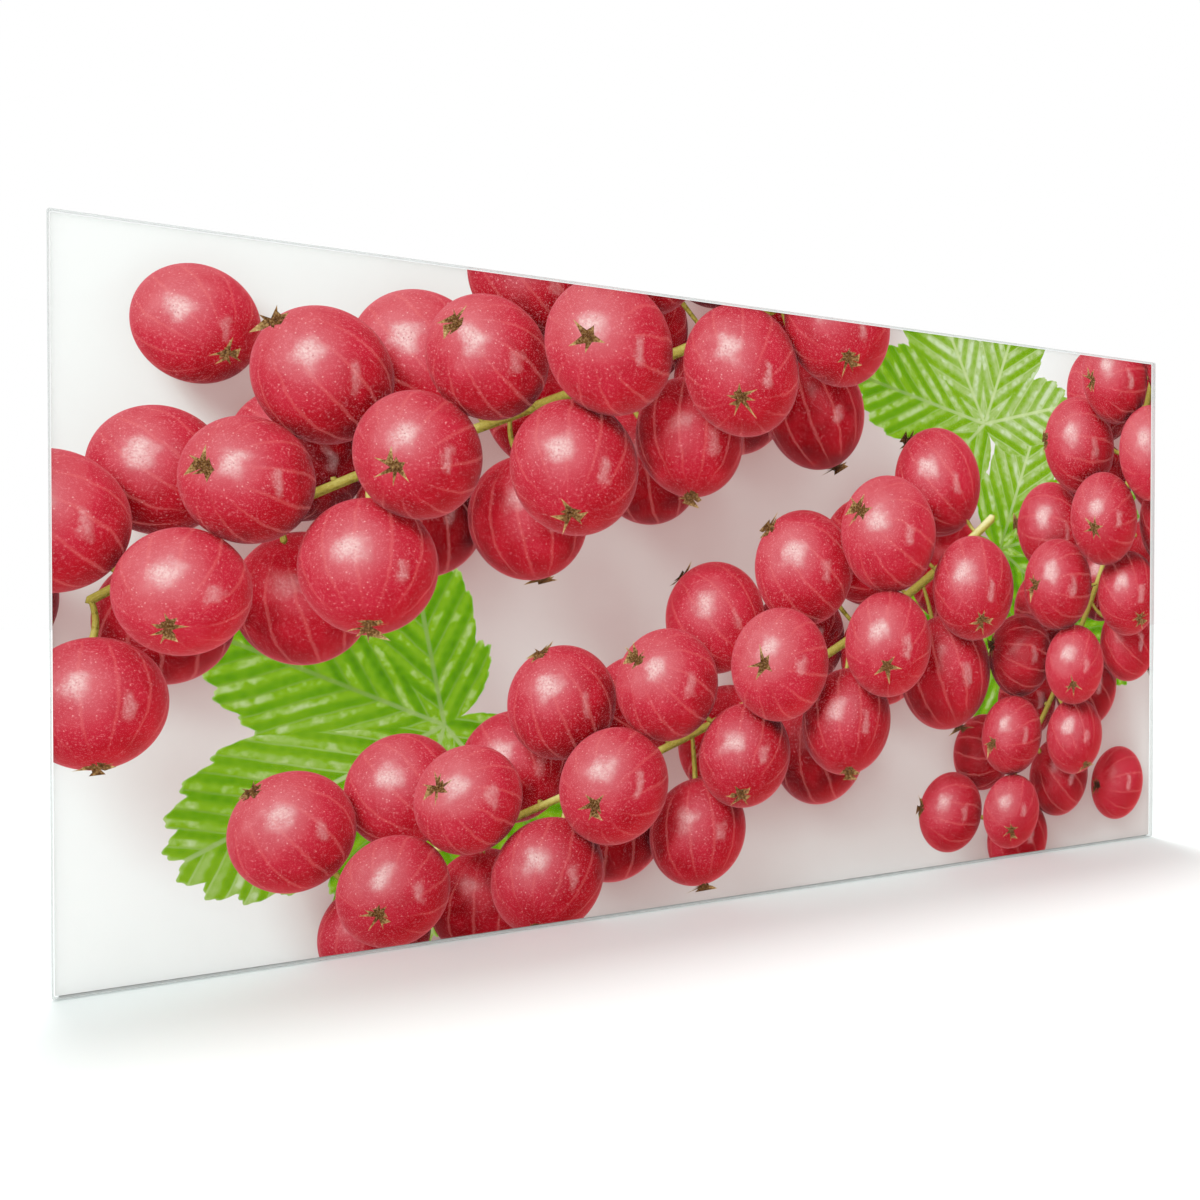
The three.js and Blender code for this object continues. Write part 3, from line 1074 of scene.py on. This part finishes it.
def leaf_ink():
    ink = Ink("print_leaf_green")
    off, along, edge = ink.split(ink.attribute("detail"))
    wide = ink.maths("ABSOLUTE", off)
    place = ink.join(off, along, ink.seed)

    # The blade is folded between its side veins, with pale patches on each fold's lit flank
    bent = ink.plus(ink.off_half(ink.noise(place, 14.0, 3.0)[0], 0.012), along)
    slope = ink.maths("SUBTRACT", bent, ink.times(wide, 1.3))
    step = ink.maths("FRACT", ink.maths("DIVIDE", slope, LEAF_VEIN_STEP))
    fold = ink.maths("SINE", ink.times(step, 2 * math.pi))
    patch = ink.smooth(ink.noise(place, 75.0, 3.0)[0], 0.44, 0.66, 0.0, 0.30)
    lit = ink.times(ink.times_plus(ink.lamp, 0.6, 0.4), ink.toward_lamp())
    tone = ink.plus(
        ink.times(lit, 0.56), ink.times(ink.sky_share, 0.25),
        ink.times(patch, ink.smooth(fold, -0.3, 0.8)), ink.times(fold, 0.11),
        ink.off_half(ink.spots(place, 190.0), 0.16),
        ink.off_half(ink.noise(place, 22.0, 3.0)[0], 0.22),
    )
    colour = ink.ramp(tone, *LEAF_TONES)

    # Pale veins and a pale edge
    off_vein = ink.maths("ABSOLUTE", ink.maths("SUBTRACT", step, 0.5))
    side_vein = ink.smooth(off_vein, 0.02, 0.08, 1.0, 0.0)
    main_vein = ink.smooth(wide, 0.0009, 0.0022, 1.0, 0.0)
    vein = ink.times(ink.maths("MAXIMUM", main_vein, ink.times(side_vein, 0.6)), 0.75)
    vein_colour = ink.mix(ink.lamp, LEAF_VEIN_SHADED, LEAF_VEIN_LIT)
    colour = ink.mix(vein, colour, vein_colour)
    colour = ink.mix(ink.smooth(edge, 0.0, 0.0022, 0.5, 0.0), colour, LEAF_RIM)
    return ink.printed(colour)


picture_film = print_film(
    table_ink(), berry_ink(), stalk_ink(), dried_flower_ink(), leaf_ink(),
)
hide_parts("picture_film")
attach(picture_film, "root")


# Backing film
# An opaque white film, rolled on over the print from behind. It keeps light from shining
# through the picture, and the tape of the hangers and spacers sticks to it.
BACKING_TONES = ((0.3, (0.66, 0.66, 0.645)), (0.7, (0.72, 0.72, 0.705)))


def repaint(node, material):
    """Gives a piece that stays as it is in the CAD its material."""
    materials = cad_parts[node].data.materials
    materials.clear()
    materials.append(material)


backing = Recipe("backing_white")
backing_grain = backing.noise(backing.place(), 700.0, 3.0)[0]
backing.bump(backing_grain, 0.12, 0.0002)
backing_tone = backing.ramp(backing.noise(backing.place(), 5.0, 4.0)[0], *BACKING_TONES)
repaint("backing_film", backing.finish(Base_Color=backing_tone, Roughness=0.55))


# Hangers
# Two plates of 1.2 mm zinc-plated steel, pressed so that the middle stands out to the wall
# between two flanges, which are bonded to the backing. A slot, open below, takes the wall screw.
HANGER_SHEET = 0.0012
HANGER_BEND_RADIUS = 0.001
HANGER_RAISED_WIDTH = 0.046
HANGER_CORNER_RADIUS = 0.006
SLOT_WIDTH = 0.0052
SLOT_MOUTH_WIDTH = 0.018
SLOT_MOUTH_HEIGHT = 0.012
SLOT_ROUND_STEPS = 16
SHEET_EDGE_ROUND = 0.00018
BEND_STEPS = 7
HANGER_SHARP_ANGLE = math.radians(35)
ZINC_TONES = ((0.25, (0.46, 0.47, 0.49)), (0.6, (0.68, 0.69, 0.70)))

bend_middle = HANGER_BEND_RADIUS + HANGER_SHEET / 2
bend_length = bend_middle * math.pi / 2
raised_flat = HANGER_RAISED_WIDTH / 2 - HANGER_BEND_RADIUS - HANGER_SHEET


def pressed(reach, drop):
    """Where a place on the flat blank comes to lie, from its reach off the middle line."""
    side = math.copysign(1, reach)
    left = abs(reach)
    if left <= raised_flat:
        return reach, 0, 0
    left -= raised_flat
    if left <= bend_length:
        a = left / bend_middle
        x, y = raised_flat + bend_middle * math.sin(a), bend_middle * (math.cos(a) - 1)
        return side * x, y, side * a
    left -= bend_length
    if left <= drop:
        return side * (raised_flat + bend_middle), -bend_middle - left, side * math.pi / 2
    left -= drop
    if left <= bend_length:
        a = left / bend_middle
        x = raised_flat + bend_middle * (2 - math.cos(a))
        return side * x, -bend_middle * (1 + math.sin(a)) - drop, side * (math.pi / 2 - a)
    left -= bend_length
    return side * (raised_flat + 2 * bend_middle + left), -2 * bend_middle - drop, 0


def hanger_blank(half_width, low, high):
    """The flat blank's outline, with round corners and the slot cut in from below."""
    middle = (low + high) / 2
    edge = rounded_outline(2 * half_width, high - low, HANGER_CORNER_RADIUS, PANE_CORNER_STEPS)
    edge = [(x, middle + z) for x, z in edge]
    slot = [(-SLOT_MOUTH_WIDTH / 2, low), (-SLOT_WIDTH / 2, low + SLOT_MOUTH_HEIGHT)]
    for step in range(SLOT_ROUND_STEPS + 1):
        a = math.pi * (1 - step / SLOT_ROUND_STEPS)
        slot.append((SLOT_WIDTH / 2 * math.cos(a), SLOT_WIDTH / 2 * (math.sin(a) - 1)))
    slot += [(SLOT_WIDTH / 2, low + SLOT_MOUTH_HEIGHT), (SLOT_MOUTH_WIDTH / 2, low)]
    before = 3 * (PANE_CORNER_STEPS + 1)
    return edge[:before] + slot + edge[before:]


def pressed_hanger(name, node, material):
    low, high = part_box(node)
    centre = (low.x + high.x) / 2
    drop = high.y - low.y - HANGER_SHEET - 2 * bend_middle
    flange = (high.x - low.x) / 2 - raised_flat - 2 * bend_middle
    half_width = raised_flat + 2 * bend_length + drop + flange
    body = bmesh.new()
    outline = [body.verts.new((x, -HANGER_SHEET / 2, z))
               for x, z in hanger_blank(half_width, low.z, high.z)]
    front = body.faces.new(outline)
    lifted = bmesh.ops.extrude_face_region(body, geom=[front])["geom"]
    for part in lifted:
        if isinstance(part, bmesh.types.BMVert):
            part.co.y = HANGER_SHEET / 2
    bmesh.ops.recalc_face_normals(body, faces=body.faces)
    rims = [e for e in body.edges if abs(e.verts[0].co.y - e.verts[1].co.y) < 1e-6]
    bmesh.ops.bevel(
        body, geom=rims, offset=SHEET_EDGE_ROUND, segments=2, profile=0.5, affect="EDGES",
    )
    starts = (raised_flat, raised_flat + bend_length + drop)
    columns = [start + bend_length * step / BEND_STEPS
               for start in starts for step in range(BEND_STEPS + 1)]
    for column in columns:
        for side in (-1, 1):
            bmesh.ops.bisect_plane(
                body, geom=list(body.verts) + list(body.edges) + list(body.faces),
                plane_co=(side * column, 0, 0), plane_no=(1, 0, 0), dist=1e-7,
            )
    for vert in body.verts:
        x, y, turn = pressed(vert.co.x, drop)
        off = vert.co.y
        vert.co.x = centre + x + off * math.sin(turn)
        vert.co.y = high.y - HANGER_SHEET / 2 + y + off * math.cos(turn)
    bmesh.ops.triangulate(body, faces=[f for f in body.faces if len(f.verts) > 4])
    bmesh.ops.recalc_face_normals(body, faces=body.faces)
    hanger = mesh_object(name, [], [], material)
    body.to_mesh(hanger.data)
    body.free()
    hanger.data.shade_smooth()
    hanger.data.set_sharp_from_angle(angle=HANGER_SHARP_ANGLE)
    return hanger


steel = Recipe("zinc_plated_steel")
steel_place = steel.place()
steel_brush = steel.noise(steel.vector("MULTIPLY", steel_place, (30.0, 30.0, 900.0)), 3.0, 3.0)[0]
steel_spangle = steel.spots(steel_place, 420.0)
steel_cloud = steel.noise(steel_place, 70.0, 4.0)[0]
steel.bump(steel_brush, 0.06, 0.0002)
steel_blend = steel.plus(steel.times(steel_spangle, 0.35), steel.times(steel_cloud, 0.65))
zinc = steel.finish(
    Base_Color=steel.ramp(steel_blend, *ZINC_TONES), Metallic=1.0,
    Roughness=steel.smooth(steel_brush, 0.3, 0.7, 0.27, 0.42),
)
for side in ("left", "right"):
    hanger = pressed_hanger(f"hanger_pressed_{side}", f"hanger_{side}", zinc)
    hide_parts(f"hanger_{side}")
    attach(hanger, "root")


# Foam tape
# Closed-cell white foam with adhesive on both faces. Pads of it bond the hangers' flanges to the
# backing, and round discs of it the spacers.
FOAM_TONES = ((0.0, (0.62, 0.62, 0.60)), (0.6, (0.82, 0.82, 0.80)))

foam = Recipe("foam_tape_white")
foam_cells = foam.spots(foam.place(), 2500.0)
foam.bump(foam_cells, 0.4, 0.0002)
foam_white = foam.finish(Base_Color=foam.ramp(foam_cells, *FOAM_TONES), Roughness=0.9)
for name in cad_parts:
    if "_tape" in name:
        repaint(name, foam_white)


# Spacers
# Two moulded rubber feet near the lower corners keep the picture parallel to the wall. Each is a
# blunt cone with a shallow cup in its face and grip ribs round its side, stuck on with foam.
SPACER_FACE_RADIUS = 0.010
SPACER_FOOT_LIP = 0.0004
SPACER_EDGE_ROUND = 0.001
SPACER_EDGE_STEPS = 6
SPACER_CUP_RADIUS = 0.0065
SPACER_CUP_DEPTH = 0.0009
SPACER_CUP_STEPS = 8
SPACER_TURN_STEPS = 96
SPACER_SHARP_ANGLE = math.radians(40)
RIB_COUNT = 36
RIB_RADIUS = 0.00045
RIB_SIDES = 10
RIB_SHARE_OF_FLANK = 0.72
RUBBER_TONES = ((0.35, (0.016, 0.016, 0.018)), (0.65, (0.050, 0.050, 0.053)))


def spacer_foot(name, low, high, material):
    """The turned foot. Its rings run from the adhesive face round the side to the wall face."""
    foot_radius = (high.x - low.x) / 2
    length = high.y - low.y
    top = SPACER_FACE_RADIUS - SPACER_EDGE_ROUND
    profile = [(foot_radius - SPACER_FOOT_LIP, 0), (foot_radius, SPACER_FOOT_LIP)]
    for step in range(SPACER_EDGE_STEPS + 1):
        a = math.pi / 2 * step / SPACER_EDGE_STEPS
        profile.append((
            top + SPACER_EDGE_ROUND * math.cos(a), length - SPACER_EDGE_ROUND * (1 - math.sin(a)),
        ))
    for step in range(SPACER_CUP_STEPS + 1):
        share = step / SPACER_CUP_STEPS
        dip = SPACER_CUP_DEPTH * (0.5 - 0.5 * math.cos(math.pi * share))
        profile.append((SPACER_CUP_RADIUS * (1 - 0.75 * share), length - dip))
    centre_x, centre_z = (low.x + high.x) / 2, (low.z + high.z) / 2
    rings = []
    turns = [2 * math.pi * i / SPACER_TURN_STEPS for i in range(SPACER_TURN_STEPS)]
    for radius, y in profile:
        rings.append([
            (centre_x + radius * math.cos(a), low.y + y, centre_z + radius * math.sin(a))
            for a in turns
        ])
    foot = lofted(name, rings, material)
    foot.data.shade_smooth()
    foot.data.set_sharp_from_angle(angle=SPACER_SHARP_ANGLE)
    return foot


def rib_tree(material):
    """Stands a ring of ribs on the foot's side and joins them to it."""
    tree = bpy.data.node_groups.new("grip_ribs", "GeometryNodeTree")
    sockets = (
        ("Foot", "Geometry"), ("Count", "Int"), ("Ring radius", "Float"), ("Rib radius", "Float"),
        ("Rib length", "Float"), ("Lean", "Float"), ("Place", "Vector"),
    )
    for name, kind in sockets:
        tree.interface.new_socket(name, in_out="INPUT", socket_type="NodeSocket" + kind)
    tree.interface.new_socket("Ribbed foot", in_out="OUTPUT", socket_type="NodeSocketGeometry")

    def add(kind, values=None, **settings):
        return new_node(tree, kind, values, **settings)

    given = add("NodeGroupInput").outputs
    ring = add("GeometryNodeMeshCircle", {
        "Vertices": given["Count"], "Radius": given["Ring radius"],
    }).outputs["Mesh"]
    rib = add("GeometryNodeMeshCylinder", {
        "Vertices": RIB_SIDES, "Radius": given["Rib radius"], "Depth": given["Rib length"],
    }).outputs["Mesh"]
    index = add("GeometryNodeInputIndex").outputs[0]
    share = add("ShaderNodeMath", {0: index, 1: given["Count"]}, operation="DIVIDE").outputs[0]
    turn = add("ShaderNodeMath", {0: share, 1: 2 * math.pi}, operation="MULTIPLY").outputs[0]
    angles = add("ShaderNodeCombineXYZ", {"Y": given["Lean"], "Z": turn}).outputs[0]
    stand = add("GeometryNodeInstanceOnPoints", {
        "Points": ring, "Instance": rib, "Rotation": angles,
    }).outputs[0]
    lay = add("GeometryNodeTransform", {
        "Geometry": stand, "Translation": given["Place"], "Rotation": (-math.pi / 2, 0, 0),
    }).outputs[0]
    join = add("GeometryNodeJoinGeometry", {0: lay})
    wire(tree, join.inputs[0], given["Foot"])
    real = add("GeometryNodeRealizeInstances", {0: join.outputs[0]}).outputs[0]
    paint = add("GeometryNodeSetMaterial", {"Geometry": real, "Material": material}).outputs[0]
    add("NodeGroupOutput", {0: paint})
    return tree


def with_ribs(foot, tree, values):
    """Runs the tree on the foot and keeps the result as the foot's plain mesh."""
    ribs = foot.modifiers.new("grip_ribs", "NODES")
    ribs.node_group = tree
    names = {item.name: item.identifier for item in tree.interface.items_tree}
    for name, value in values.items():
        ribs[names[name]] = value
    seen = foot.evaluated_get(bpy.context.evaluated_depsgraph_get())
    mesh = bpy.data.meshes.new_from_object(seen)
    foot.modifiers.clear()
    foot.data = mesh


rubber = Recipe("spacer_rubber_black")
rubber_grain = rubber.noise(rubber.place(), 1400.0, 4.0)[0]
rubber_dust = rubber.noise(rubber.place(), 160.0, 3.0)[0]
rubber.bump(rubber_grain, 0.25, 0.0002)
rubber_blend = rubber.plus(rubber.times(rubber_dust, 0.5), rubber.times(rubber_grain, 0.5))
rubber_black = rubber.finish(
    Base_Color=rubber.ramp(rubber_blend, *RUBBER_TONES),
    Roughness=rubber.smooth(rubber_dust, 0.3, 0.7, 0.62, 0.85),
)
ribs = rib_tree(rubber_black)
for side in ("left", "right"):
    low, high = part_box(f"spacer_{side}")
    foot = spacer_foot(f"spacer_moulded_{side}", low, high, rubber_black)
    foot_radius = (high.x - low.x) / 2
    flank = high.y - low.y - SPACER_EDGE_ROUND
    taper = foot_radius - SPACER_FACE_RADIUS
    with_ribs(foot, ribs, {
        "Count": RIB_COUNT,
        "Ring radius": (foot_radius + SPACER_FACE_RADIUS) / 2,
        "Rib radius": RIB_RADIUS,
        "Rib length": RIB_SHARE_OF_FLANK * math.hypot(flank, taper),
        "Lean": -math.atan2(taper, flank),
        "Place": ((low.x + high.x) / 2, low.y + flank / 2, (low.z + high.z) / 2),
    })
    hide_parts(f"spacer_{side}")
    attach(foot, "root")
